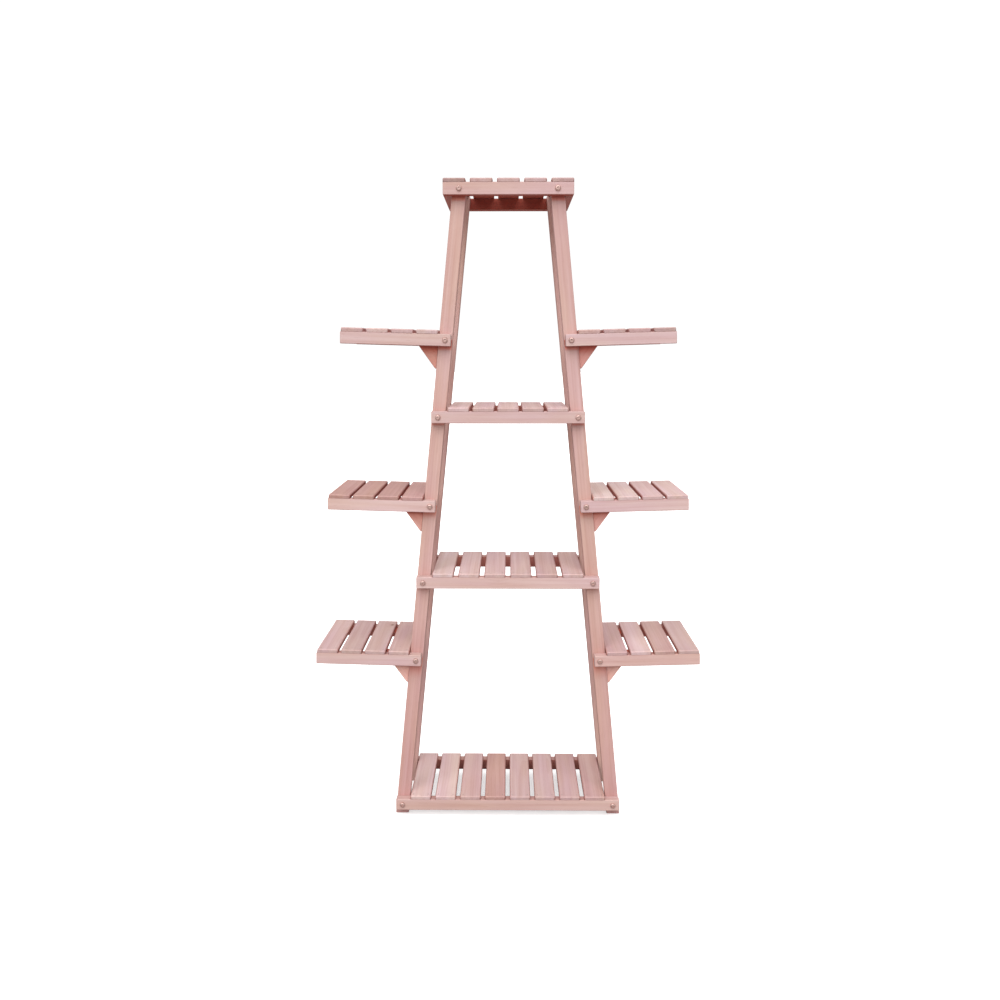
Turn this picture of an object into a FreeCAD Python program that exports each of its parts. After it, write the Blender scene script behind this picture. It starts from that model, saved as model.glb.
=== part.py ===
import FreeCAD, Part
import math
import os

os.makedirs("parts", exist_ok=True)
Vector = FreeCAD.Vector

# Overall stance of the stand, in millimetres
stand_height = 1200.0
shelf_depth = 200.0
foot_half_width = 220.0
head_half_width = 98.5

# Timber sections
leg_width = 25.0
leg_depth = 25.0
rail_height = 22.0
rail_thickness = 18.0
slat_width = 40.0
slat_thickness = 7.0
gusset_thickness = 12.0
end_batten_thickness = 14.0
eased_edge = 1.2
slat_eased_edge = 2.0

# Underside of each centre rail above the floor; the top rail hangs from the stand height
bottom_rail_z = 15.0
lower_rail_z = 459.0
upper_rail_z = 769.0

# Underside of each side rail at its bolt
low_side_rail_z = 307.0
mid_side_rail_z = 604.0
high_side_rail_z = 908.0

# Centre shelves: slat counts and the room between the outer slats and the legs
bottom_slat_count = 8
lower_slat_count = 6
upper_slat_count = 5
top_slat_count = 5
bottom_slat_room = 1.0
lower_slat_room = 3.0
upper_slat_room = 3.0
top_rail_overhang = 16.0

# Side shelves: rail length, the rail's setback from the leg's inner face, the last slat's inset from the
# rails' outer ends, and the rise of the outer end in degrees
side_rail_length = 199.5
side_rail_setback = 2.5
side_slat_inset = 1.5
side_rise_deg = 1.6
side_slat_count = 4

# Gussets under the side shelves
gusset_reach = 52.5
gusset_drop = 63.0
gusset_tip = 2.5

# Bolts with a hexagon socket, and the threaded inserts that take them
bolt_diameter = 6.0
bolt_engagement = 14.0
bolt_end_chamfer = 0.8
bolt_hole_clearance = 0.5
bolt_tip_room = 2.0
head_diameter = 10.5
head_height = 3.3
head_rim = 0.6
head_crown_diameter = 5.6
socket_across_flats = 4.0
socket_depth = 2.0
insert_diameter = 9.0
insert_length = 12.0

# Brads that hold the slats
brad_diameter = 1.4
brad_length = 20.0
brad_head_diameter = 2.6
brad_head_thickness = 0.7
brad_spread_share = 0.72
end_brad_spread_share = 0.4

# Screws that hold the gussets to the legs
screw_diameter = 3.5
screw_length = 28.0
screw_head_diameter = 6.4
screw_head_height = 2.4
screw_seat = 12.0
screw_hole_clearance = 0.4
screw_height_share = 0.6

# Sizes that follow from the ones above
leg_top_z = stand_height - slat_thickness
top_rail_z = leg_top_z - rail_height
leg_slope = (foot_half_width - head_half_width) / leg_top_z
leg_lean = math.atan(leg_slope)
leg_level_width = leg_width / math.cos(leg_lean)
side_rise = math.radians(side_rise_deg)
front_y = -shelf_depth / 2
leg_front_y = front_y + rail_thickness
leg_back_y = leg_front_y + leg_depth
rail_mid_y = front_y + rail_thickness / 2
leg_mid_y = leg_front_y + leg_depth / 2
Y_AXIS = Vector(0, 1, 0)


def outer_x(z):
    """Outer face of the right legs at a height."""
    return foot_half_width - leg_slope * z


def axis_x(z):
    """Centre line of the right legs at a height."""
    return outer_x(z) - leg_level_width / 2


def to_left(shape):
    return shape.mirror(Vector(0, 0, 0), Vector(1, 0, 0))


def to_back(shape):
    return shape.mirror(Vector(0, 0, 0), Vector(0, 1, 0))


def eased(shape):
    return shape.makeFillet(eased_edge, shape.Edges)


def board(x0, x1, y0, y1, z0, z1):
    """A planed board between six planes, with its edges eased."""
    return eased(Part.makeBox(x1 - x0, y1 - y0, z1 - z0, Vector(x0, y0, z0)))


def slat_at(x0, base_z):
    """A slat across both rails, left square along its underside and eased along its other edges."""
    blank = Part.makeBox(slat_width, shelf_depth, slat_thickness, Vector(x0, front_y, base_z))
    upper = [e for e in blank.Edges if e.CenterOfMass.z > base_z + slat_eased_edge]
    return blank.makeFillet(slat_eased_edge, upper)


def plate(points, y0, thickness):
    """A flat-sided board with an outline in the X-Z plane."""
    corners = [Vector(x, y0, z) for x, z in points]
    face = Part.Face(Part.makePolygon(corners + corners[:1]))
    return eased(face.extrude(Vector(0, thickness, 0)))


def save(shapes, node):
    shape = shapes[0] if len(shapes) == 1 else Part.makeCompound(shapes)
    shape.exportStep("parts/" + node + ".step")


# Tiers: name, rail underside, slat count, room beside the outer slats
centre_tiers = [
    ("bottom", bottom_rail_z, bottom_slat_count, bottom_slat_room),
    ("lower", lower_rail_z, lower_slat_count, lower_slat_room),
    ("upper", upper_rail_z, upper_slat_count, upper_slat_room),
    ("top", top_rail_z, top_slat_count, None),
]
side_tiers = [
    ("low", low_side_rail_z),
    ("mid", mid_side_rail_z),
    ("high", high_side_rail_z),
]


# Bolt: domed button head, hexagon socket, plain shank to the thread's outer diameter
def bolt_at(x, z):
    """A front bolt, its head on the rail's outer face and its shank running to +Y."""
    shank = rail_thickness + bolt_engagement
    r_shank = bolt_diameter / 2
    r_head = head_diameter / 2
    r_crown = head_crown_diameter / 2
    r_end = r_shank - bolt_end_chamfer
    r_dome = (r_head + r_crown) / 2 + head_rim
    z_dome = (head_rim + head_height) / 2 + head_rim / 2
    dome = Part.Arc(
        Vector(r_head, 0, head_rim), Vector(r_dome, 0, z_dome), Vector(r_crown, 0, head_height)
    ).toShape()
    line = Part.makePolygon([
        Vector(r_crown, 0, head_height),
        Vector(0, 0, head_height),
        Vector(0, 0, -shank),
        Vector(r_end, 0, -shank),
        Vector(r_shank, 0, -shank + bolt_end_chamfer),
        Vector(r_shank, 0, 0),
        Vector(r_head, 0, 0),
        Vector(r_head, 0, head_rim),
    ])
    face = Part.Face(Part.Wire([dome] + line.Edges))
    solid = face.revolve(Vector(0, 0, 0), Vector(0, 0, 1), 360)
    r_hex = socket_across_flats / math.sqrt(3)
    corners = []
    for k in range(7):
        turn = math.radians(60 * k)
        corners.append(Vector(r_hex * math.cos(turn), r_hex * math.sin(turn), head_height - socket_depth))
    socket = Part.Face(Part.makePolygon(corners)).extrude(Vector(0, 0, socket_depth))
    solid = solid.cut(socket).Solids[0]
    solid.rotate(Vector(0, 0, 0), Vector(1, 0, 0), 90)
    solid.translate(Vector(x, front_y, z))
    return solid


def rail_hole(x, z):
    """Clearance hole for a bolt through a front rail."""
    radius = (bolt_diameter + bolt_hole_clearance) / 2
    return Part.makeCylinder(radius, rail_thickness, Vector(x, front_y, z), Y_AXIS)


def leg_hole(x, z):
    """Stepped hole in a front leg: the insert's seat, then room for the bolt's end."""
    mouth = Vector(x, leg_front_y, z)
    seat = Part.makeCylinder(insert_diameter / 2, insert_length, mouth, Y_AXIS)
    radius = (bolt_diameter + bolt_hole_clearance) / 2
    tip = Part.makeCylinder(radius, bolt_engagement + bolt_tip_room, mouth, Y_AXIS)
    return seat.fuse(tip)


def insert_at(x, z):
    """Threaded insert, pressed in flush with the leg's face."""
    mouth = Vector(x, leg_front_y, z)
    sleeve = Part.makeCylinder(insert_diameter / 2, insert_length, mouth, Y_AXIS)
    bore = Part.makeCylinder(bolt_diameter / 2, insert_length, mouth, Y_AXIS)
    return sleeve.cut(bore).Solids[0]


# Brad: flat head flush with the top of the slat
def brad_at(x, y, top_z):
    shank = Part.makeCylinder(brad_diameter / 2, brad_length, Vector(x, y, top_z - brad_length))
    head = Part.makeCylinder(
        brad_head_diameter / 2, brad_head_thickness, Vector(x, y, top_z - brad_head_thickness)
    )
    return shank.fuse(head).removeSplitter().Solids[0]


def slat_row(first_x, last_x, count, base_z):
    """Evenly spaced slats between two edges, and the brads at their ends."""
    gap = (last_x - first_x - count * slat_width) / (count - 1)
    top_z = base_z + slat_thickness
    slats = []
    brads = []
    for k in range(count):
        x0 = first_x + k * (slat_width + gap)
        mid_x = x0 + slat_width / 2
        slats.append(slat_at(x0, base_z))
        for side in (-1, 1):
            x = mid_x + side * slat_width * brad_spread_share / 2
            for y in (rail_mid_y, -rail_mid_y):
                brads.append(brad_at(x, y, top_z))
    return slats, brads


def bored(shape, tools):
    """The solid left after the tools that reach it have been cut away."""
    near = [t for t in tools if t.BoundBox.intersect(shape.BoundBox)]
    return shape.cut(Part.makeCompound(near)).Solids[0] if near else shape


# Legs: leaning square posts, level at the floor and under the top slats
foot_x = outer_x(0)
head_x = outer_x(leg_top_z)
leg_outline = [
    (foot_x, 0),
    (head_x, leg_top_z),
    (head_x - leg_level_width, leg_top_z),
    (foot_x - leg_level_width, 0),
]
leg = plate(leg_outline, leg_front_y, leg_depth)

shelf_bolts = []
side_bolts = []
inserts = []
all_brads = []

# Centre shelves: two rails on the outer faces of the legs, slats across their tops
for tier, rail_z, count, room in centre_tiers:
    mid_z = rail_z + rail_height / 2
    base_z = rail_z + rail_height
    bolt_x = axis_x(mid_z)
    half_rail = outer_x(mid_z)
    if room is None:
        half_rail = half_rail + top_rail_overhang
        half_span = half_rail
    else:
        half_span = outer_x(base_z + slat_thickness) - leg_level_width - room
    slats, brads = slat_row(-half_span, half_span, count, base_z)
    rail = board(-half_rail, half_rail, front_y, leg_front_y, rail_z, base_z)
    holes = [rail_hole(-bolt_x, mid_z), rail_hole(bolt_x, mid_z)]
    if room is None:
        # End battens of the top shelf: between the two rails, nailed from above through the outer slats
        batten = board(
            half_rail - end_batten_thickness, half_rail, leg_front_y, -leg_front_y, rail_z, base_z
        )
        batten_x = half_rail - end_batten_thickness / 2
        batten_y = shelf_depth * end_brad_spread_share / 2
        end_brads = [brad_at(batten_x, y, base_z + slat_thickness) for y in (-batten_y, batten_y)]
        batten = bored(batten, end_brads)
        save([to_left(batten)], tier + "_end_batten_left")
        save([batten], tier + "_end_batten_right")
        brads = brads + end_brads + [to_left(b) for b in end_brads]
    rail = bored(rail, holes + brads)
    save([rail], tier + "_rail_front")
    save([to_back(rail)], tier + "_rail_back")
    save([bored(s, brads) for s in slats], tier + "_slats")
    leg = bored(leg, [leg_hole(bolt_x, mid_z)])
    bolt = bolt_at(bolt_x, mid_z)
    insert = insert_at(bolt_x, mid_z)
    shelf_bolts += [bolt, to_left(bolt), to_back(bolt), to_back(to_left(bolt))]
    inserts += [insert, to_left(insert), to_back(insert), to_back(to_left(insert))]
    all_brads += brads

# Side shelves: made level about the bolt, then turned so that the outer end rises
inner_end = side_rail_setback - leg_level_width / 2
outer_end = inner_end + side_rail_length
half_rail_height = rail_height / 2
screws = []
for tier, rail_z in side_tiers:
    bolt_z = rail_z + half_rail_height
    bolt_x = axis_x(bolt_z)

    def placed(shape):
        """Turn a level piece about the bolt and carry it to its leg."""
        moved = shape.copy()
        moved.rotate(Vector(0, 0, 0), Y_AXIS, -side_rise_deg)
        moved.translate(Vector(bolt_x, 0, bolt_z))
        return moved

    slat_end = outer_end - side_slat_inset
    slats, brads = slat_row(leg_level_width / 2, slat_end, side_slat_count, half_rail_height)
    rail = board(inner_end, outer_end, front_y, leg_front_y, -half_rail_height, half_rail_height)
    rail = bored(rail, [rail_hole(0, 0)] + brads)
    first_mid = leg_level_width / 2 + slat_width / 2
    top_w = half_rail_height + slat_thickness
    prop_brads = [brad_at(first_mid, y, top_w) for y in (leg_mid_y, -leg_mid_y)]
    brads = brads + prop_brads
    slats = [placed(bored(s, brads)) for s in slats]
    rail = placed(rail)
    brads = [placed(b) for b in brads]

    # Gusset: its long edge on the leg's outer face, its short edge under the first slats
    along = Vector(math.cos(side_rise), 0, math.sin(side_rise))
    under = Vector(math.sin(side_rise), 0, -math.cos(side_rise))
    outward = Vector(math.cos(leg_lean), 0, math.sin(leg_lean))
    down = Vector(math.sin(leg_lean), 0, -math.cos(leg_lean))
    turn = math.cos(side_rise) + leg_slope * math.sin(side_rise)
    lift = math.sin(side_rise) - leg_slope * math.cos(side_rise)
    start = (leg_level_width / 2 + half_rail_height * lift) / turn
    corner = Vector(bolt_x, 0, bolt_z) + along * start - under * half_rail_height
    tip = corner + along * gusset_reach
    toe = corner + down * gusset_drop
    outline = [corner, tip, tip + under * gusset_tip, toe + outward * gusset_tip, toe]
    gusset_y = leg_mid_y - gusset_thickness / 2
    gusset = plate([(p.x, p.z) for p in outline], gusset_y, gusset_thickness)

    # Screw through the gusset, square to the leg, its head down a counterbore
    face_point = corner + down * (gusset_drop * screw_height_share)
    seat = Vector(face_point.x, leg_mid_y, face_point.z) + outward * screw_seat
    shank = Part.makeCylinder(screw_diameter / 2, screw_length, seat, outward * -1)
    head = Part.makeCylinder(screw_head_diameter / 2, screw_head_height, seat, outward)
    screw = shank.fuse(head).removeSplitter().Solids[0]
    bore_radius = (screw_head_diameter + screw_hole_clearance) / 2
    counterbore = Part.makeCylinder(bore_radius, gusset_reach, seat, outward)
    gusset = bored(gusset, [shank, counterbore, placed(prop_brads[0])])
    leg = bored(leg, [leg_hole(bolt_x, bolt_z), shank])

    bolt = bolt_at(bolt_x, bolt_z)
    insert = insert_at(bolt_x, bolt_z)
    for side, turned in (("left", to_left), ("right", Part.Shape.copy)):
        name = side + "_" + tier
        save([turned(rail)], name + "_rail_front")
        save([to_back(turned(rail))], name + "_rail_back")
        save([turned(s) for s in slats], name + "_slats")
        save([turned(gusset)], name + "_gusset_front")
        save([to_back(turned(gusset))], name + "_gusset_back")
        all_brads += [turned(b) for b in brads]
        side_bolts += [turned(bolt), to_back(turned(bolt))]
        inserts += [turned(insert), to_back(turned(insert))]
        screws += [turned(screw), to_back(turned(screw))]

# Legs, bored for every shelf
save([to_left(leg)], "leg_front_left")
save([leg], "leg_front_right")
save([to_back(to_left(leg))], "leg_back_left")
save([to_back(leg)], "leg_back_right")

# Fasteners, one node for each kind
save(shelf_bolts, "centre_shelf_bolts")
save(side_bolts, "side_shelf_bolts")
save(inserts, "threaded_inserts")
save(all_brads, "slat_brads")
save(screws, "gusset_screws")
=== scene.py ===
import math
import random

import bmesh
import bpy
from mathutils import Matrix, Vector, noise


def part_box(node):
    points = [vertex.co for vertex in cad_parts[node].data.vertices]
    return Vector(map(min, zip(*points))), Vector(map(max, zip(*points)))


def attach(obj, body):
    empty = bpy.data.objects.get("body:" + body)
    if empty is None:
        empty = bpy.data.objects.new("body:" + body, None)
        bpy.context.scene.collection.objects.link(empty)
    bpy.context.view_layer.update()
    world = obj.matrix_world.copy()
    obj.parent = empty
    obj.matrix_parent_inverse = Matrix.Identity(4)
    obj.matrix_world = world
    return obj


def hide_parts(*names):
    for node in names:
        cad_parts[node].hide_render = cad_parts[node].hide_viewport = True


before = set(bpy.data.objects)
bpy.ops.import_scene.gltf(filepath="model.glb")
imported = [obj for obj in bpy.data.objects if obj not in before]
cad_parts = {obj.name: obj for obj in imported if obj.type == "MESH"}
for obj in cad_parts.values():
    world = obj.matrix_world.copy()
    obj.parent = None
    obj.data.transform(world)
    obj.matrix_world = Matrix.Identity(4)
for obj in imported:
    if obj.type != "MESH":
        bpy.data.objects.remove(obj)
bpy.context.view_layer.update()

# Legs. Four square posts of planed pinkish softwood lean inwards towards the top, sawn level at the floor
# and under the top slats. They carry every shelf: bolts run through the rails into inserts in these posts.
FOOT_HALF, HEAD_HALF, LEG_TOP, LEG_WIDTH = 0.220, 0.0985, 1.193, 0.025
SLOPE = (FOOT_HALF - HEAD_HALF) / LEG_TOP
LEAN = math.atan(SLOPE)
LEVEL_WIDTH = LEG_WIDTH / math.cos(LEAN)
FRONT_Y, LEG_FRONT_Y, LEG_BACK_Y = -0.100, -0.082, -0.057
LEG_MID_Y = (LEG_FRONT_Y + LEG_BACK_Y) / 2

TONES = {
    "bleached": (1.21, 1.38, 1.40),
    "light": (1.14, 1.24, 1.26),
    "pale": (1.04, 1.08, 1.10),
    "pink": (1.00, 1.00, 1.01),
    "warm": (0.99, 0.97, 0.95),
    "rose": (0.95, 0.86, 0.85),
    "ruddy": (0.90, 0.79, 0.74),
    "grey": (0.95, 0.98, 0.99),
    "weathered": (0.80, 0.78, 0.77),
}


def outer_x(z):
    return FOOT_HALF - SLOPE * z


def add(tree, kind, values=None, **settings):
    """A shader node with its settings, and its inputs set or linked."""
    node = tree.nodes.new(kind)
    for key, value in settings.items():
        setattr(node, key, value)
    for key, value in (values or {}).items():
        if isinstance(value, bpy.types.NodeSocket):
            tree.links.new(value, node.inputs[key])
        else:
            node.inputs[key].default_value = value
    return node


def maths(tree, what, a, b=0.0, clamp=False):
    return add(tree, "ShaderNodeMath", {0: a, 1: b}, operation=what, use_clamp=clamp).outputs[0]


def blend(tree, factor, a, b, how="MIX"):
    node = add(tree, "ShaderNodeMix", {0: factor, 6: a, 7: b}, data_type="RGBA", blend_type=how)
    return node.outputs[2]


def stretched(tree, vector, scale, detail=2.0, rough=0.5):
    """Noise whose cells are drawn out along the grain."""
    coord = add(tree, "ShaderNodeVectorMath", {0: vector, 1: scale}, operation="MULTIPLY").outputs[0]
    values = {"Vector": coord, "Scale": 1.0, "Detail": detail, "Roughness": rough}
    return add(tree, "ShaderNodeTexNoise", values).outputs[0]


def timber_group():
    """Softwood cut from a log: growth rings round the pith, fibres, pin knots, sawn faces with painted
    shade, and end faces.
    """
    g = bpy.data.node_groups.new("planed_timber", "ShaderNodeTree")
    for name in ("Pale", "Deep"):
        g.interface.new_socket(name=name, in_out="INPUT", socket_type="NodeSocketColor")
    for name in ("Rings", "Knots"):
        g.interface.new_socket(name=name, in_out="INPUT", socket_type="NodeSocketFloat")
    g.interface.new_socket(name="Color", in_out="OUTPUT", socket_type="NodeSocketColor")
    g.interface.new_socket(name="Roughness", in_out="OUTPUT", socket_type="NodeSocketFloat")
    g.interface.new_socket(name="Height", in_out="OUTPUT", socket_type="NodeSocketFloat")
    given = add(g, "NodeGroupInput")
    log = add(g, "ShaderNodeAttribute", attribute_name="log").outputs["Vector"]
    tone = add(g, "ShaderNodeAttribute", attribute_name="tone").outputs["Vector"]
    kind = add(g, "ShaderNodeAttribute", attribute_name="kind").outputs["Vector"]
    edge = add(g, "ShaderNodeAttribute", attribute_name="edge").outputs["Fac"]
    ramp = add(g, "ShaderNodeAttribute", attribute_name="painted_shade").outputs["Vector"]
    ramp = add(g, "ShaderNodeSeparateXYZ", {0: ramp})
    cut = add(g, "ShaderNodeSeparateXYZ", {0: kind})
    end_face, sawn_and_shaded_face, front_face = cut.outputs

    # Growth rings: distance from the pith, bent a little and round the knots, darkest in the late wood
    knot_cells, knot_rarity = (15.0, 15.0, 9.0), 0.82
    ring_spacing, ring_bend, ring_swell, late_rise = 0.0046, 0.014, 0.010, 2.4
    cells = add(g, "ShaderNodeVectorMath", {0: log, 1: knot_cells}, operation="MULTIPLY").outputs[0]
    knots = add(g, "ShaderNodeTexVoronoi", {"Vector": cells, "Scale": 1.0}, feature="F1")
    pick = add(g, "ShaderNodeSeparateColor", {0: knots.outputs["Color"]}).outputs[0]
    pick = maths(g, "MULTIPLY", maths(g, "GREATER_THAN", pick, knot_rarity), given.outputs["Knots"])
    halo = add(
        g, "ShaderNodeMapRange", {"Value": knots.outputs["Distance"], "From Min": 0.24, "From Max": 0.05},
        interpolation_type="SMOOTHSTEP",
    ).outputs[0]
    halo = maths(g, "MULTIPLY", halo, pick)
    core = add(
        g, "ShaderNodeMapRange", {"Value": knots.outputs["Distance"], "From Min": 0.085, "From Max": 0.050},
        interpolation_type="SMOOTHSTEP",
    ).outputs[0]
    core = maths(g, "MULTIPLY", core, pick)
    wobble = stretched(g, log, (16.0, 16.0, 2.4))
    across = add(g, "ShaderNodeVectorMath", {0: log, 1: (1.0, 1.0, 0.0)}, operation="MULTIPLY").outputs[0]
    radius = add(g, "ShaderNodeVectorMath", {0: across}, operation="LENGTH").outputs["Value"]
    bent = maths(g, "ADD", radius, maths(g, "MULTIPLY", wobble, ring_bend))
    bent = maths(g, "ADD", bent, maths(g, "MULTIPLY", halo, ring_swell))
    ring = maths(g, "FRACT", maths(g, "DIVIDE", bent, ring_spacing))
    late = maths(g, "POWER", ring, late_rise)
    late = maths(g, "MULTIPLY", late, given.outputs["Rings"])

    # Fibres, broader streaks, slow blotches, and a drift between tan and rosy wood
    fibre = stretched(g, log, (700.0, 700.0, 11.0), 3.0, 0.6)
    streak = stretched(g, log, (130.0, 130.0, 2.6), 2.0, 0.5)
    blotch = stretched(g, log, (11.0, 11.0, 6.0), 3.0, 0.55)
    fibre_share, streak_share, blotch_share = 0.30, 0.85, 0.55
    grain = maths(g, "MULTIPLY", fibre, fibre_share)
    grain = maths(g, "ADD", grain, maths(g, "MULTIPLY", streak, streak_share))
    grain = maths(g, "ADD", grain, maths(g, "MULTIPLY", blotch, blotch_share))
    grain = maths(g, "ADD", grain, late)
    depth = add(g, "ShaderNodeMapRange", {"Value": grain, "From Min": 0.57, "From Max": 1.30}).outputs[0]
    colour = blend(g, depth, given.outputs["Pale"], given.outputs["Deep"])
    drift = stretched(g, log, (34.0, 34.0, 5.0), 2.0, 0.5)
    drift = add(g, "ShaderNodeMapRange", {"Value": drift, "From Min": 0.32, "From Max": 0.68}).outputs[0]
    tan_drift, rosy_drift = (1.02, 1.01, 0.95, 1.0), (0.99, 0.95, 1.01, 1.0)
    drift = blend(g, drift, tan_drift, rosy_drift)
    colour = blend(g, 1.0, colour, drift, "MULTIPLY")

    # Pores: short dark dashes
    pore_colour, pore_strength = (0.25, 0.11, 0.08, 1.0), 0.22
    pore = stretched(g, log, (1500.0, 1500.0, 60.0), 1.0, 0.5)
    pore = add(g, "ShaderNodeMapRange", {"Value": pore, "From Min": 0.66, "From Max": 0.76}).outputs[0]
    colour = blend(g, maths(g, "MULTIPLY", pore, pore_strength), colour, pore_colour)

    # Pin knots: a dark eye in a faint warm halo
    halo_colour, halo_strength = (0.42, 0.19, 0.13, 1.0), 0.16
    eye_colour, eye_strength = (0.25, 0.095, 0.06, 1.0), 0.72
    colour = blend(g, maths(g, "MULTIPLY", halo, halo_strength), colour, halo_colour)
    colour = blend(g, maths(g, "MULTIPLY", core, eye_strength), colour, eye_colour)

    # Board tone, then painted shade: darker, redder undersides and inner faces, the soft and dark shade
    # under a rail, and a leg darker and greyer towards its foot; then dull end grain, and rubbed edges
    # lightened, partly wear and partly a painted highlight
    painted_shade_tint, end_tint = (0.52, 0.16, 0.11, 1.0), (0.86, 0.85, 0.85, 1.0)
    shade_tints = ((1.06, 0.62, 0.54, 1.0), (0.64, 0.44, 0.40, 1.0), (0.92, 0.85, 0.86, 1.0))
    rubbed_and_highlight_colour, rubbed_and_highlight_strength = (0.74, 0.53, 0.49, 1.0), 0.55
    colour = blend(g, 1.0, colour, tone, "MULTIPLY")
    colour = blend(g, sawn_and_shaded_face, colour, painted_shade_tint, "MULTIPLY")
    for part, tint in zip(ramp.outputs, shade_tints):
        shade = add(g, "ShaderNodeMapRange", {"Value": part}, interpolation_type="SMOOTHSTEP").outputs[0]
        colour = blend(g, maths(g, "MULTIPLY", shade, front_face), colour, tint, "MULTIPLY")
    colour = blend(g, end_face, colour, end_tint, "MULTIPLY")
    rub_and_highlight = maths(g, "MULTIPLY", edge, maths(g, "MULTIPLY", blotch, rubbed_and_highlight_strength))
    colour = blend(g, rub_and_highlight, colour, rubbed_and_highlight_colour)

    # Roughness, and the relief of fibres, late wood and pores, with saw marks across the sawn faces
    planed_rough, fibre_rough, raw_rough = 0.56, 0.22, 0.10
    saw_pitch, saw_height, fibre_height, late_height, pore_height = 2600.0, 0.10, 0.7, -0.4, -0.5
    rough = maths(g, "ADD", planed_rough, maths(g, "MULTIPLY", fibre, fibre_rough))
    rough = maths(g, "ADD", rough, maths(g, "MULTIPLY", sawn_and_shaded_face, raw_rough), True)
    saw = add(g, "ShaderNodeSeparateXYZ", {0: log}).outputs[2]
    saw = maths(g, "SINE", maths(g, "MULTIPLY", saw, saw_pitch))
    saw = maths(g, "MULTIPLY", saw, maths(g, "MULTIPLY", sawn_and_shaded_face, saw_height))
    height = maths(g, "MULTIPLY", fibre, fibre_height)
    height = maths(g, "ADD", height, maths(g, "MULTIPLY", late, late_height))
    height = maths(g, "ADD", maths(g, "ADD", height, saw), maths(g, "MULTIPLY", pore, pore_height))
    out = add(g, "NodeGroupOutput")
    for name, socket in (("Color", colour), ("Roughness", rough), ("Height", height)):
        g.links.new(socket, out.inputs[name])
    return g


TIMBER = timber_group()


def timber(name, pale, deep, rings, knots):
    """A board material; each kind of board has its own ground colours and ring strength."""
    mat = bpy.data.materials.new(name)
    mat.use_nodes = True
    tree = mat.node_tree
    shader = tree.nodes["Principled BSDF"]
    wood = add(tree, "ShaderNodeGroup", node_tree=TIMBER)
    wood.inputs["Pale"].default_value = (*pale, 1.0)
    wood.inputs["Deep"].default_value = (*deep, 1.0)
    wood.inputs["Rings"].default_value = rings
    wood.inputs["Knots"].default_value = knots
    relief = {"Height": wood.outputs["Height"], "Strength": 0.35, "Distance": 0.0004}
    bump = add(tree, "ShaderNodeBump", relief)
    tree.links.new(wood.outputs["Color"], shader.inputs["Base Color"])
    tree.links.new(wood.outputs["Roughness"], shader.inputs["Roughness"])
    tree.links.new(bump.outputs[0], shader.inputs["Normal"])
    shader.inputs["Specular IOR Level"].default_value = 0.30
    return mat


WEAR_DEPTH, WEAR_SCALE, WEAR_SHIFT = 0.00016, 55.0, 50.0
PITH_NEAR, PITH_FAR, PITH_ASIDE, TRUNK_LENGTH = 0.035, 0.10, 0.02, 40.0
BOARD_SPREAD = 0.04
END_GRAIN = 0.9
INNER_FACE_Y = 0.04


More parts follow.
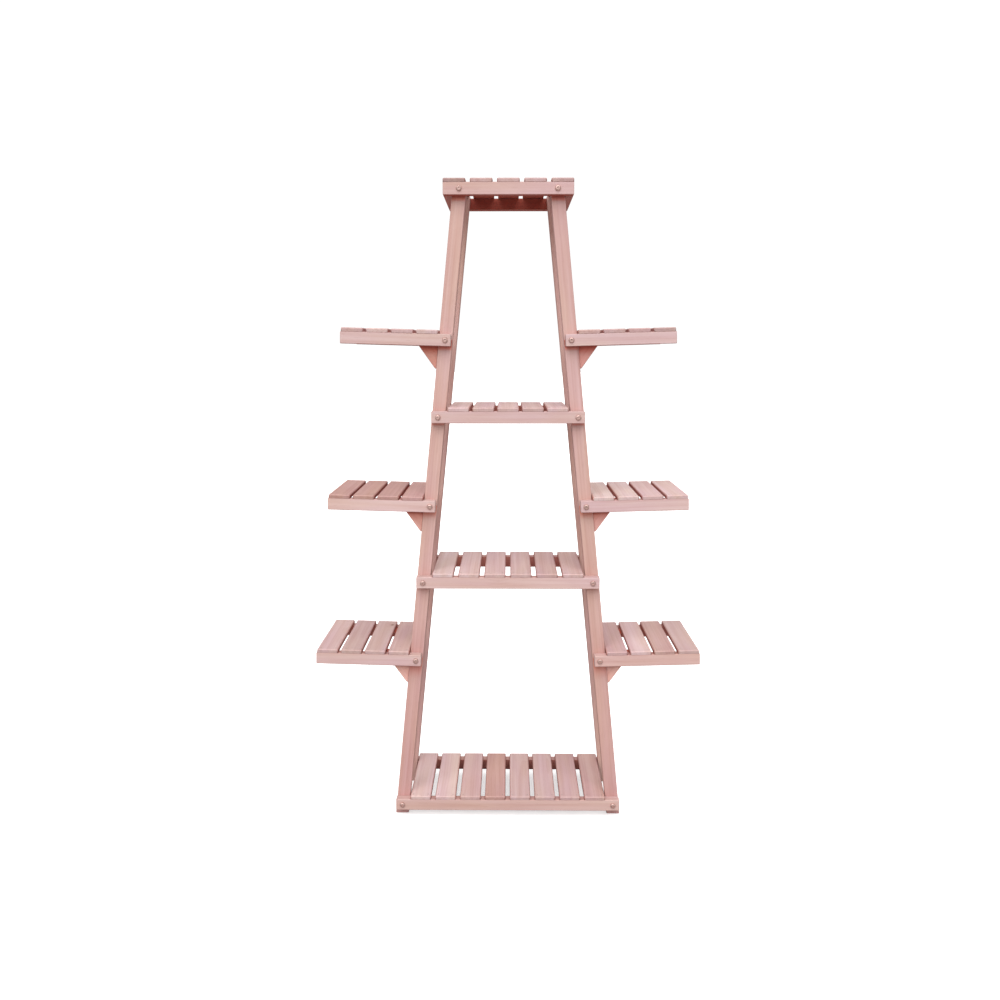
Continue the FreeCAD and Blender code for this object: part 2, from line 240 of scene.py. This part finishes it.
def board(
    name, outline, y0, y1, grain, tone, material, seed, ease=0.0012, step=0.030,
    sawn_and_shaded_under=0.8, sawn_and_shaded_inside=0.0, sawn_and_shaded_sides=(0.0, 0.0), sawn_and_shaded_over=0.0, covered=None,
    cutter=None, painted_shade=None, square_under=False,
):
    """A planed board: an X-Z outline drawn out along Y, with eased edges and its place in the log stored."""
    dice = random.Random(seed)
    grain = Vector(grain).normalized()
    bm = bmesh.new()
    mark = bm.faces.layers.int.new("eased")
    near = [bm.verts.new((x, y0, z)) for x, z in outline]
    drawn = bmesh.ops.extrude_face_region(bm, geom=[bm.faces.new(near)])["geom"]
    far = [part for part in drawn if isinstance(part, bmesh.types.BMVert)]
    bmesh.ops.translate(bm, verts=far, vec=(0.0, y1 - y0, 0.0))
    bmesh.ops.recalc_face_normals(bm, faces=bm.faces[:])
    square = []
    if square_under:
        under = next(f for f in near[0].link_faces if near[1] in f.verts and near[2] not in f.verts)
        square = list(under.edges)
    worn = [e for e in bm.edges if e not in square]
    made = bmesh.ops.bevel(
        bm, geom=worn, offset=ease, offset_type="OFFSET", segments=2, profile=0.5,
        affect="EDGES", material=-1, clamp_overlap=True,
    )
    for face in made["faces"]:
        face[mark] = 1
    along = [v.co.dot(grain) for v in bm.verts]
    start, length = min(along), max(along) - min(along)
    cuts = max(1, int(length / step))
    for k in range(1, cuts):
        at = start + length * k / cuts
        bmesh.ops.bisect_plane(
            bm, geom=bm.verts[:] + bm.edges[:] + bm.faces[:], plane_co=grain * at, plane_no=grain
        )
    bm.normal_update()
    # Eased-edge points: worn down a little, and lightened in colour, partly wear and partly a painted
    # highlight
    rubbed_and_highlit = []
    for v in bm.verts:
        inside = all(f[mark] for f in v.link_faces)
        rubbed_and_highlit.append(1.0 if inside else 0.0)
    shift = dice.uniform(0.0, WEAR_SHIFT)
    for v, share in zip(bm.verts, rubbed_and_highlit):
        if share:
            wear = WEAR_DEPTH * (1.0 + noise.noise(v.co * WEAR_SCALE + Vector((shift, 0.0, 0.0))))
            v.co = v.co - v.normal * wear
    for face in bm.faces:
        face.smooth = bool(face[mark])
    mesh = bpy.data.meshes.new(name)
    bm.to_mesh(mesh)
    bm.free()
    mesh.attributes.new("edge", "FLOAT", "POINT").data.foreach_set("value", rubbed_and_highlit)
    obj = bpy.data.objects.new(name, mesh)
    bpy.context.scene.collection.objects.link(obj)
    if cutter is not None:
        hole = obj.modifiers.new("hole", "BOOLEAN")
        hole.operation = "DIFFERENCE"
        hole.solver = "EXACT"
        hole.object = cutter
        bpy.context.view_layer.update()
        cut = bpy.data.meshes.new_from_object(obj.evaluated_get(bpy.context.evaluated_depsgraph_get()))
        obj.modifiers.clear()
        obj.data = cut
        bpy.data.meshes.remove(mesh)
        cut.name = name
        mesh = cut
    mesh.materials.clear()
    mesh.materials.append(material)

    # Where this board lay in its log: a pith line off to one side, and a place along the trunk
    side = grain.orthogonal().normalized()
    side = Matrix.Rotation(dice.uniform(0.0, math.tau), 3, grain) @ side
    third = grain.cross(side)
    centre = sum((v.co for v in mesh.vertices), Vector()) / len(mesh.vertices)
    pith_x = dice.uniform(PITH_NEAR, PITH_FAR)
    pith_y = dice.uniform(-PITH_ASIDE, PITH_ASIDE)
    pith = Vector((pith_x, pith_y, dice.uniform(0.0, TRUNK_LENGTH)))
    log = []
    for v in mesh.vertices:
        p = v.co - centre
        log += [p.dot(side) + pith.x, p.dot(third) + pith.y, p.dot(grain) + pith.z]
    shade = dice.uniform(1.0 - BOARD_SPREAD, 1.0 + BOARD_SPREAD)
    tint = [c * shade for c in TONES[tone]]
    kinds = []
    for face in mesh.polygons:
        n, c = face.normal, face.center
        # Painted shade: undersides, inner faces, slat sides in the gaps and faces covered by slats are
        # darkened and reddened; these are also the sawn faces, rougher and with saw marks
        sawn_and_shaded = sawn_and_shaded_under * max(0.0, -n.z)
        if abs(c.y) > INNER_FACE_Y:
            sawn_and_shaded += sawn_and_shaded_inside * max(0.0, -n.y * math.copysign(1.0, c.y))
        sawn_and_shaded += sawn_and_shaded_sides[0] * max(0.0, -n.x) + sawn_and_shaded_sides[1] * max(0.0, n.x)
        if covered and covered[0] < c.x < covered[1]:
            sawn_and_shaded += sawn_and_shaded_over * max(0.0, n.z)
        kinds += [1.0 if abs(n.dot(grain)) > END_GRAIN else 0.0, min(1.0, sawn_and_shaded), abs(n.y)]
    # Painted shade below the rails, soft and dark part, and a leg's darkening towards the foot
    ramp = []
    for v in mesh.vertices:
        ramp += painted_shade(v.co) if painted_shade else (0.0, 0.0, 0.0)
    tints = tint * len(mesh.vertices)
    mesh.attributes.new("painted_shade", "FLOAT_VECTOR", "POINT").data.foreach_set("vector", ramp)
    mesh.attributes.new("log", "FLOAT_VECTOR", "POINT").data.foreach_set("vector", log)
    mesh.attributes.new("tone", "FLOAT_VECTOR", "POINT").data.foreach_set("vector", tints)
    mesh.attributes.new("kind", "FLOAT_VECTOR", "FACE").data.foreach_set("vector", kinds)
    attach(obj, "root")
    return obj


leg_wood = timber("leg_timber", (0.70, 0.485, 0.440), (0.54, 0.310, 0.262), 0.16, 0.5)
# Underside of each rail, with the strength of the painted shade below it and its length
RAIL_SHADES = (
    (0.015, 0.20, 0.016), (0.307, 0.50, 0.034), (0.459, 0.25, 0.016), (0.604, 0.60, 0.018),
    (0.769, 0.70, 0.007), (0.908, 1.00, 0.009), (1.171, 1.10, 0.010),
)
RAIL_COVER = 0.012
SOFT_FULL, DARK_START = 0.6, 0.5
FOOT_SHADE_TOP, FOOT_SHADE_LENGTH = 0.43, 0.10


def under_rail(place):
    """Painted shade on a leg's outer face below each rail, in a soft and a dark part; the leg is also darker
    and greyer towards the foot.
    """
    if abs(place.y) < -LEG_MID_Y:
        return 0.0, 0.0, 0.0
    shade = 0.0
    for underside, strength, length in RAIL_SHADES:
        drop = underside - place.z
        if -RAIL_COVER < drop < length:
            shade = max(shade, strength * (1.0 - max(0.0, drop) / length))
    foot = (FOOT_SHADE_TOP - place.z) / FOOT_SHADE_LENGTH
    return shade / SOFT_FULL, (shade - DARK_START) / (1.0 - DARK_START), foot


LEG_SEED = 10
for seed, place in enumerate(("front_left", "front_right", "back_left", "back_right")):
    sx = -1 if place.endswith("left") else 1
    sy = 1 if place.startswith("front") else -1
    outline = [
        (sx * FOOT_HALF, 0.0),
        (sx * HEAD_HALF, LEG_TOP),
        (sx * (HEAD_HALF - LEVEL_WIDTH), LEG_TOP),
        (sx * (FOOT_HALF - LEVEL_WIDTH), 0.0),
    ]
    lean_way = (-sx * math.sin(LEAN), 0.0, math.cos(LEAN))
    leg = board(
        "leg_" + place + "_post", outline, sy * LEG_FRONT_Y, sy * LEG_BACK_Y, lean_way, "pink", leg_wood,
        LEG_SEED + seed, step=0.003, sawn_and_shaded_sides=(0.1, 0.1), painted_shade=under_rail,
    )
    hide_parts("leg_" + place)

# Centre-shelf rails. Planed softwood battens across the outer faces of the legs, front and back, with one
# bolt at each end. The top pair runs past the legs; the others stop about where the legs' outer edges are.
rail_wood = timber("rail_timber", (0.69, 0.500, 0.475), (0.55, 0.335, 0.300), 0.13, 0.3)
RAIL_SEED = 30
centre_tiers = {"bottom": "warm", "lower": "pale", "upper": "pale", "top": "pink"}
for seed, (tier, tone) in enumerate(centre_tiers.items()):
    for face in ("front", "back"):
        node = tier + "_rail_" + face
        lo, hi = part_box(node)
        outline = [(lo.x, lo.z), (hi.x, lo.z), (hi.x, hi.z), (lo.x, hi.z)]
        # Painted shade on the rails' undersides and inner faces, strongest on the top pair
        sawn_and_shaded = 1.0 if tier == "top" else 0.8
        rail = board(
            node + "_batten", outline, lo.y, hi.y, (1, 0, 0), tone, rail_wood,
            RAIL_SEED + 2 * seed + (face == "back"), sawn_and_shaded_under=sawn_and_shaded, sawn_and_shaded_inside=sawn_and_shaded,
            sawn_and_shaded_over=0.28, covered=[v.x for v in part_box(tier + "_slats")],
        )
        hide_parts(node)

# End battens of the top shelf. Short softwood battens between the two top rails, just outside the legs and
# flush with the rails' ends. They close the shelf's sides, and the outer slats are nailed down to them.
END_BATTEN_SEED = 50
for seed, side in enumerate(("left", "right")):
    node = "top_end_batten_" + side
    lo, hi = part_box(node)
    outline = [(lo.x, lo.z), (hi.x, lo.z), (hi.x, hi.z), (lo.x, hi.z)]
    batten = board(
        node + "_board", outline, lo.y, hi.y, (0, 1, 0), "pink", rail_wood, END_BATTEN_SEED + seed
    )
    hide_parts(node)

# Centre-shelf slats. Thin softwood boards laid front to back on the rails, flush with their faces and nailed
# down. Each is a different board, so the colour changes from slat to slat.
slat_wood = timber("slat_timber", (0.67, 0.482, 0.464), (0.52, 0.310, 0.280), 0.14, 1.0)
SLAT_WIDTH, SLAT_EASE = 0.040, 0.0020
SLAT_SEED, SHELF_SEEDS = 100, 10
slat_tones = {
    "bottom": ("light", "light", "pink", "ruddy", "grey", "grey", "pink", "warm"),
    "lower": ("bleached", "light", "pale", "pale", "pink", "pale"),
    "upper": ("light", "pale", "pale", "pale", "light"),
    "top": ("weathered", "pink", "pale", "pale", "grey"),
}
for shelf, (tier, tones) in enumerate(slat_tones.items()):
    lo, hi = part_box(tier + "_slats")
    pitch = (hi.x - lo.x - SLAT_WIDTH) / (len(tones) - 1)
    for k, tone in enumerate(tones):
        x0, x1 = lo.x + k * pitch, lo.x + k * pitch + SLAT_WIDTH
        outline = [(x0, lo.z), (x1, lo.z), (x1, hi.z), (x0, hi.z)]
        bare_left = tier == "top" and k == 0
        bare_right = tier == "top" and k == len(tones) - 1
        slat = board(
            f"{tier}_slat_{k + 1}", outline, lo.y, hi.y, (0, 1, 0), tone, slat_wood,
            SLAT_SEED + SHELF_SEEDS * shelf + k, ease=SLAT_EASE, sawn_and_shaded_under=1.0,
            sawn_and_shaded_sides=(0.0 if bare_left else 0.8, 0.0 if bare_right else 0.8), square_under=True,
        )
        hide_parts(tier + "_slats")

# Side-shelf rails. Shorter softwood battens, front and back, each held to its leg by a single bolt, so that
# the shelf can be set by eye: the outer ends stand a little higher than the bolts.
BOLT_Z = {"low": 0.318, "mid": 0.615, "high": 0.919}
RISE = math.radians(1.6)
HALF_RAIL = 0.011
SETBACK, SIDE_RAIL_LENGTH = 0.0025, 0.1995
INNER_END = SETBACK - LEVEL_WIDTH / 2
OUTER_END = INNER_END + SIDE_RAIL_LENGTH
SIDE_RAIL_SEED = 200


def side_point(sx, tier, u, w):
    """A point of a side shelf: u outwards from the bolt along the rail, w up from it."""
    z = BOLT_Z[tier]
    x = outer_x(z) - LEVEL_WIDTH / 2
    return sx * (x + u * math.cos(RISE) - w * math.sin(RISE)), z + u * math.sin(RISE) + w * math.cos(RISE)


side_rail_tones = {
    ("left", "low"): "pale",
    ("left", "mid"): "pale",
    ("left", "high"): "pale",
    ("right", "low"): "warm",
    ("right", "mid"): "pale",
    ("right", "high"): "light",
}
for seed, ((side, tier), tone) in enumerate(side_rail_tones.items()):
    sx = -1 if side == "left" else 1
    outline = [side_point(sx, tier, u, -HALF_RAIL) for u in (INNER_END, OUTER_END)]
    outline += [side_point(sx, tier, u, HALF_RAIL) for u in (OUTER_END, INNER_END)]
    for sy, face in ((1, "front"), (-1, "back")):
        node = f"{side}_{tier}_rail_{face}"
        way = (sx * math.cos(RISE), 0.0, math.sin(RISE))
        rail = board(
            node + "_batten", outline, sy * FRONT_Y, sy * LEG_FRONT_Y, way, tone, rail_wood,
            SIDE_RAIL_SEED + 2 * seed + (sy < 0), sawn_and_shaded_inside=0.8, sawn_and_shaded_over=0.40,
            covered=[v.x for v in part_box(f"{side}_{tier}_slats")],
        )
        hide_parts(node)

# Side-shelf slats. The same thin boards, four to a shelf, from the leg's outer face almost to the rails'
# ends. They lie front to back across both rails, are nailed down to them and tilt with them.
SLAT_THICKNESS, SLAT_INSET = 0.007, 0.0015
SIDE_SLATS, SIDE_SLAT_SEED = 4, 300
side_slat_tones = {
    ("left", "low"): ("pale", "grey", "grey", "pale"),
    ("left", "mid"): ("rose", "ruddy", "ruddy", "ruddy"),
    ("left", "high"): ("light", "pale", "light", "pink"),
    ("right", "low"): ("pink", "light", "warm", "grey"),
    ("right", "mid"): ("bleached", "bleached", "pale", "light"),
    ("right", "high"): ("warm", "pale", "pink", "grey"),
}
side_pitch = (OUTER_END - SLAT_INSET - LEVEL_WIDTH / 2 - SLAT_WIDTH) / (SIDE_SLATS - 1)
for shelf, ((side, tier), tones) in enumerate(side_slat_tones.items()):
    sx = -1 if side == "left" else 1
    for k, tone in enumerate(tones):
        u0 = LEVEL_WIDTH / 2 + k * side_pitch
        u1, w0, w1 = u0 + SLAT_WIDTH, HALF_RAIL, HALF_RAIL + SLAT_THICKNESS
        outline = [side_point(sx, tier, u, w) for u, w in ((u0, w0), (u1, w0), (u1, w1), (u0, w1))]
        inward = 0.5 if tier == "high" else 0.8
        outward = 0.0 if k == len(tones) - 1 else inward
        slat = board(
            f"{side}_{tier}_slat_{k + 1}", outline, FRONT_Y, -FRONT_Y, (0, 1, 0), tone, slat_wood,
            SIDE_SLAT_SEED + SHELF_SEEDS * shelf + k, ease=SLAT_EASE,
            sawn_and_shaded_sides=(inward, outward) if sx > 0 else (outward, inward), square_under=True,
        )
        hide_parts(f"{side}_{tier}_slats")

# Gussets. Triangular offcuts under each side shelf, set in the middle of the leg's depth, glued and screwed
# to its outer face through a counterbored hole in the sloping edge; the first slats bear on their tops.
gusset_wood = timber("gusset_timber", (0.84, 0.490, 0.430), (0.70, 0.345, 0.285), 0.16, 0.2)
REACH, DROP, TIP, GUSSET_HALF = 0.0525, 0.063, 0.0025, 0.006
SCREW_PLACE, SEAT_DEPTH = 0.6, 0.012
DRILL_RADIUS, DRILL_LENGTH, DRILL_SIDES = 0.0034, 0.050, 32
GUSSET_SEED = 400
gusset_tones = {"low": "light", "mid": "pink", "high": "rose"}
# Reach and length of the soft and of the dark part of the painted shade below the rails
GUSSET_SHADES = {
    "low": (0.012, 0.036, 0.013, 0.010),
    "mid": (0.028, 0.036, 0.010, 0.006),
    "high": (0.018, 0.016, 0.009, 0.009),
}


def under_shelf(place, tier):
    """How far a gusset's point lies in the painted shade below its rails: soft and dark part."""
    out = abs(place.x) - outer_x(BOLT_Z[tier]) + LEVEL_WIDTH / 2
    drop = BOLT_Z[tier] + out * math.tan(RISE) - HALF_RAIL / math.cos(RISE) - place.z
    soft_reach, soft_length, dark_reach, dark_length = GUSSET_SHADES[tier]
    return (soft_reach - drop) / soft_length, (dark_reach - drop) / dark_length, 0.0


for seed, (side, tier) in enumerate(side_slat_tones):
    sx = -1 if side == "left" else 1
    lift = math.sin(RISE) - SLOPE * math.cos(RISE)
    start = (LEVEL_WIDTH / 2 + HALF_RAIL * lift) / (math.cos(RISE) + SLOPE * math.sin(RISE))
    cx, cz = side_point(1, tier, start, HALF_RAIL)
    out_x, out_z = math.cos(LEAN), math.sin(LEAN)
    tip = (cx + REACH * math.cos(RISE), cz + REACH * math.sin(RISE))
    toe = (cx + DROP * math.sin(LEAN), cz - DROP * math.cos(LEAN))
    points = [
        (cx, cz), tip, (tip[0] + TIP * math.sin(RISE), tip[1] - TIP * math.cos(RISE)),
        (toe[0] + TIP * out_x, toe[1] + TIP * out_z), toe,
    ]
    outline = [(sx * x, z) for x, z in points]
    seat_x = cx + SCREW_PLACE * DROP * math.sin(LEAN) + SEAT_DEPTH * out_x
    seat_z = cz - SCREW_PLACE * DROP * math.cos(LEAN) + SEAT_DEPTH * out_z
    for sy, face in ((1, "front"), (-1, "back")):
        node = f"{side}_{tier}_gusset_{face}"
        axis = Vector((sx * out_x, 0.0, out_z))
        drill = bmesh.new()
        turn = axis.to_track_quat("Z", "Y").to_matrix().to_4x4()
        seat = Vector((sx * seat_x, sy * LEG_MID_Y, seat_z))
        move = Matrix.Translation(seat + axis * DRILL_LENGTH / 2)
        bmesh.ops.create_cone(
            drill, cap_ends=True, segments=DRILL_SIDES, radius1=DRILL_RADIUS, radius2=DRILL_RADIUS,
            depth=DRILL_LENGTH, matrix=move @ turn,
        )
        drill_mesh = bpy.data.meshes.new("drill")
        drill.to_mesh(drill_mesh)
        drill.free()
        drill_piece = bpy.data.objects.new("drill", drill_mesh)
        bpy.context.scene.collection.objects.link(drill_piece)
        way = (sx * (points[2][0] - points[3][0]), 0.0, points[2][1] - points[3][1])
        gusset = board(
            node + "_offcut", outline, sy * LEG_MID_Y - GUSSET_HALF, sy * LEG_MID_Y + GUSSET_HALF, way,
            gusset_tones[tier], gusset_wood, GUSSET_SEED + 2 * seed + (sy < 0), step=0.012,
            sawn_and_shaded_over=0.9, covered=(-1.0, 1.0), cutter=drill_piece,
            painted_shade=lambda place: under_shelf(place, tier),
        )
        bpy.data.objects.remove(drill_piece)
        bpy.data.meshes.remove(drill_mesh)
        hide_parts(node)

# Bolts and inserts. Zinc-plated button-head bolts with a hexagon socket, turned into threaded inserts that
# sit in the legs. The plating is satin, with fine turning marks and some dulling.
def steel_group():
    """Plated steel: cloudy plating, fine marks and dull spots, read from the place on the piece."""
    g = bpy.data.node_groups.new("plated_steel", "ShaderNodeTree")
    g.interface.new_socket(name="Bright", in_out="INPUT", socket_type="NodeSocketColor")
    g.interface.new_socket(name="Dull", in_out="INPUT", socket_type="NodeSocketColor")
    g.interface.new_socket(name="Color", in_out="OUTPUT", socket_type="NodeSocketColor")
    g.interface.new_socket(name="Roughness", in_out="OUTPUT", socket_type="NodeSocketFloat")
    g.interface.new_socket(name="Height", in_out="OUTPUT", socket_type="NodeSocketFloat")
    given = add(g, "NodeGroupInput")
    place = add(g, "ShaderNodeTexCoord").outputs["Object"]
    cloud = stretched(g, place, (420.0, 420.0, 420.0), 3.0, 0.6)
    marks = stretched(g, place, (2600.0, 600.0, 2600.0), 2.0, 0.5)
    spots = add(g, "ShaderNodeMapRange", {"Value": cloud, "From Min": 0.42, "From Max": 0.68}).outputs[0]
    colour = blend(g, spots, given.outputs["Bright"], given.outputs["Dull"])
    plated_rough, spot_rough, mark_rough = 0.44, 0.18, 0.10
    rough = maths(g, "ADD", plated_rough, maths(g, "MULTIPLY", spots, spot_rough))
    rough = maths(g, "ADD", rough, maths(g, "MULTIPLY", marks, mark_rough), True)
    out = add(g, "NodeGroupOutput")
    for name, socket in (("Color", colour), ("Roughness", rough), ("Height", marks)):
        g.links.new(socket, out.inputs[name])
    return g


STEEL = steel_group()


def steel(name, bright, dull):
    mat = bpy.data.materials.new(name)
    mat.use_nodes = True
    tree = mat.node_tree
    shader = tree.nodes["Principled BSDF"]
    metal = add(tree, "ShaderNodeGroup", node_tree=STEEL)
    metal.inputs["Bright"].default_value = (*bright, 1.0)
    metal.inputs["Dull"].default_value = (*dull, 1.0)
    relief = {"Height": metal.outputs["Height"], "Strength": 0.12, "Distance": 0.0001}
    bump = add(tree, "ShaderNodeBump", relief)
    tree.links.new(metal.outputs["Color"], shader.inputs["Base Color"])
    tree.links.new(metal.outputs["Roughness"], shader.inputs["Roughness"])
    tree.links.new(bump.outputs[0], shader.inputs["Normal"])
    shader.inputs["Metallic"].default_value = 1.0
    return mat


def finish_node(node, material):
    """A CAD piece whose shape is right keeps its mesh and takes a finer material."""
    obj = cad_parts[node]
    for material_slot in obj.material_slots:
        material_slot.material = material


# The bolt plating's pinkish cast is a painted reflection of the wood around the bolts.
finish_node("centre_shelf_bolts", steel("bolt_plating_and_wood_reflection", (0.72, 0.51, 0.465), (0.50, 0.345, 0.31)))
finish_node("side_shelf_bolts", bpy.data.materials["bolt_plating_and_wood_reflection"])
finish_node("threaded_inserts", steel("insert_plating", (0.55, 0.53, 0.48), (0.38, 0.36, 0.32)))

# Gusset screws. Small yellowish plated wood screws, one to each gusset. They are driven down the
# counterbores, square to the legs, and draw the gussets against them.
finish_node("gusset_screws", steel("screw_plating", (0.58, 0.54, 0.44), (0.40, 0.36, 0.29)))

# Slat brads. Thin steel wire nails, two at each end of a slat, one over each gusset and two over each end
# batten. They are driven until their small flat heads stand only a hair proud of the wood.
BRAD_HEAD, BRAD_SIDES = 0.0013, 16
BRAD_PROFILE = (
    (0.0, 0.00016),
    (0.6 * BRAD_HEAD, 0.00015),
    (0.9 * BRAD_HEAD, 0.00009),
    (BRAD_HEAD, -0.0002),
)
BRAD_SPREAD, BRAD_Y, END_BRAD_Y = 0.36 * SLAT_WIDTH, 0.091, 0.040
SAME_POINT = 0.00001
brad_points = []
for tier, tones in slat_tones.items():
    lo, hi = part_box(tier + "_slats")
    pitch = (hi.x - lo.x - SLAT_WIDTH) / (len(tones) - 1)
    for k in range(len(tones)):
        mid = lo.x + k * pitch + SLAT_WIDTH / 2
        for x in (mid - BRAD_SPREAD, mid + BRAD_SPREAD):
            brad_points += [((x, y, hi.z), (0.0, 0.0, 1.0)) for y in (-BRAD_Y, BRAD_Y)]
for side in ("left", "right"):
    lo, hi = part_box("top_end_batten_" + side)
    mid, top = (lo.x + hi.x) / 2, LEG_TOP + SLAT_THICKNESS
    brad_points += [((mid, y, top), (0.0, 0.0, 1.0)) for y in (-END_BRAD_Y, END_BRAD_Y)]
for side, tier in side_slat_tones:
    sx = -1 if side == "left" else 1
    up = (-sx * math.sin(RISE), 0.0, math.cos(RISE))
    first = (LEVEL_WIDTH + SLAT_WIDTH) / 2
    spots = [(first, -LEG_MID_Y), (first, LEG_MID_Y)]
    for k in range(SIDE_SLATS):
        mid = first + k * side_pitch
        spots += [(mid + s * BRAD_SPREAD, y) for s in (-1, 1) for y in (-BRAD_Y, BRAD_Y)]
    for u, y in spots:
        x, z = side_point(sx, tier, u, HALF_RAIL + SLAT_THICKNESS)
        brad_points.append(((x, y, z), up))
head = bmesh.new()
profile = [head.verts.new((radius, 0.0, height)) for radius, height in BRAD_PROFILE]
profile += [head.edges.new(pair) for pair in zip(profile, profile[1:])]
bmesh.ops.spin(
    head, geom=profile, cent=(0.0, 0.0, 0.0), axis=(0.0, 0.0, 1.0), angle=math.tau, steps=BRAD_SIDES
)
bmesh.ops.remove_doubles(head, verts=head.verts[:], dist=SAME_POINT)
bmesh.ops.recalc_face_normals(head, faces=head.faces[:])
for face in head.faces:
    face.smooth = True
head_mesh = bpy.data.meshes.new("brad_head")
head.to_mesh(head_mesh)
head.free()
brads = bmesh.new()
for place, up in brad_points:
    turn = Vector(up).to_track_quat("Z", "Y").to_matrix().to_4x4()
    count = len(brads.verts)
    brads.from_mesh(head_mesh)
    brads.verts.ensure_lookup_table()
    bmesh.ops.transform(brads, matrix=Matrix.Translation(Vector(place)) @ turn, verts=brads.verts[count:])
bpy.data.meshes.remove(head_mesh)
brad_mesh = bpy.data.meshes.new("slat_brad_heads")
brads.to_mesh(brad_mesh)
brads.free()
brad_heads = bpy.data.objects.new("slat_brad_heads", brad_mesh)
bpy.context.scene.collection.objects.link(brad_heads)
brad_mesh.materials.append(steel("brad_wire", (0.55, 0.44, 0.40), (0.38, 0.29, 0.26)))
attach(brad_heads, "root")
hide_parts("slat_brads")

# Studio. A plain white floor that takes the stand's soft shadow, a white surround, a broad key light from
# the front left and a weaker one from behind, and a camera at the photograph's angle.
FLOOR_HALF, FLOOR_GLOW, FLOOR_ROUGH = 40.0, 0.55, 0.9
FLOOR_BOUNCE, FLOOR_SEEN = (0.45, 0.43, 0.42, 1.0), (0.97, 0.97, 0.97, 1.0)
BLACK, WHITE = (0.0, 0.0, 0.0, 1.0), (1.0, 1.0, 1.0, 1.0)
floor_bm = bmesh.new()
bmesh.ops.create_grid(floor_bm, x_segments=1, y_segments=1, size=FLOOR_HALF)
floor_mesh = bpy.data.meshes.new("floor")
floor_bm.to_mesh(floor_mesh)
floor_bm.free()
floor = bpy.data.objects.new("floor", floor_mesh)
bpy.context.scene.collection.objects.link(floor)
floor_mat = bpy.data.materials.new("floor_white")
floor_mat.use_nodes = True
floor_tree = floor_mat.node_tree
floor_shader = floor_tree.nodes["Principled BSDF"]
seen = add(floor_tree, "ShaderNodeLightPath").outputs["Is Camera Ray"]
floor_colour = blend(floor_tree, seen, FLOOR_BOUNCE, FLOOR_SEEN)
floor_tree.links.new(floor_colour, floor_shader.inputs["Base Color"])
floor_glow = blend(floor_tree, seen, BLACK, WHITE)
floor_tree.links.new(floor_glow, floor_shader.inputs["Emission Color"])
floor_shader.inputs["Emission Strength"].default_value = FLOOR_GLOW
floor_shader.inputs["Roughness"].default_value = FLOOR_ROUGH
floor_shader.inputs["Specular IOR Level"].default_value = 0.0
floor_mesh.materials.append(floor_mat)

world = bpy.data.worlds.new("studio")
bpy.context.scene.world = world
world.use_nodes = True
sky = world.node_tree.nodes["Background"]
sky.inputs["Color"].default_value = WHITE
SKY_LIGHT, SKY_SEEN = 0.55, 1.05
camera_ray = add(world.node_tree, "ShaderNodeLightPath").outputs["Is Camera Ray"]
level = add(
    world.node_tree, "ShaderNodeMapRange", {"Value": camera_ray, "To Min": SKY_LIGHT, "To Max": SKY_SEEN}
).outputs[0]
world.node_tree.links.new(level, sky.inputs["Strength"])

# Each light's strength, angular spread, azimuth from the front and elevation
LIGHTS = {"key": (2.40, 65.0, -8.0, 46.0), "rim": (0.6, 70.0, 160.0, 45.0)}
for name, (strength, spread, azimuth, elevation) in LIGHTS.items():
    lamp = bpy.data.lights.new(name, "SUN")
    lamp.energy = strength
    lamp.angle = math.radians(spread)
    sun = bpy.data.objects.new(name, lamp)
    bpy.context.scene.collection.objects.link(sun)
    a, e = math.radians(azimuth), math.radians(elevation)
    towards = Vector((math.sin(a) * math.cos(e), -math.cos(a) * math.cos(e), math.sin(e)))
    sun.rotation_euler = towards.to_track_quat("Z", "Y").to_euler()

SENSOR_MM, LENS_MM = 36.0, 33.67
CAMERA_PLACE, CAMERA_DOWN, CAMERA_LEFT = (0.0017, -1.8061, 0.8985), 9.01, 0.55
camera = bpy.data.cameras.new("camera")
camera.sensor_width = SENSOR_MM
camera.lens = LENS_MM
camera_object = bpy.data.objects.new("camera", camera)
bpy.context.scene.collection.objects.link(camera_object)
camera_object.location = CAMERA_PLACE
camera_object.rotation_euler = (math.radians(90.0 - CAMERA_DOWN), 0.0, math.radians(CAMERA_LEFT))
bpy.context.scene.camera = camera_object
bpy.context.scene.view_settings.view_transform = "Standard"
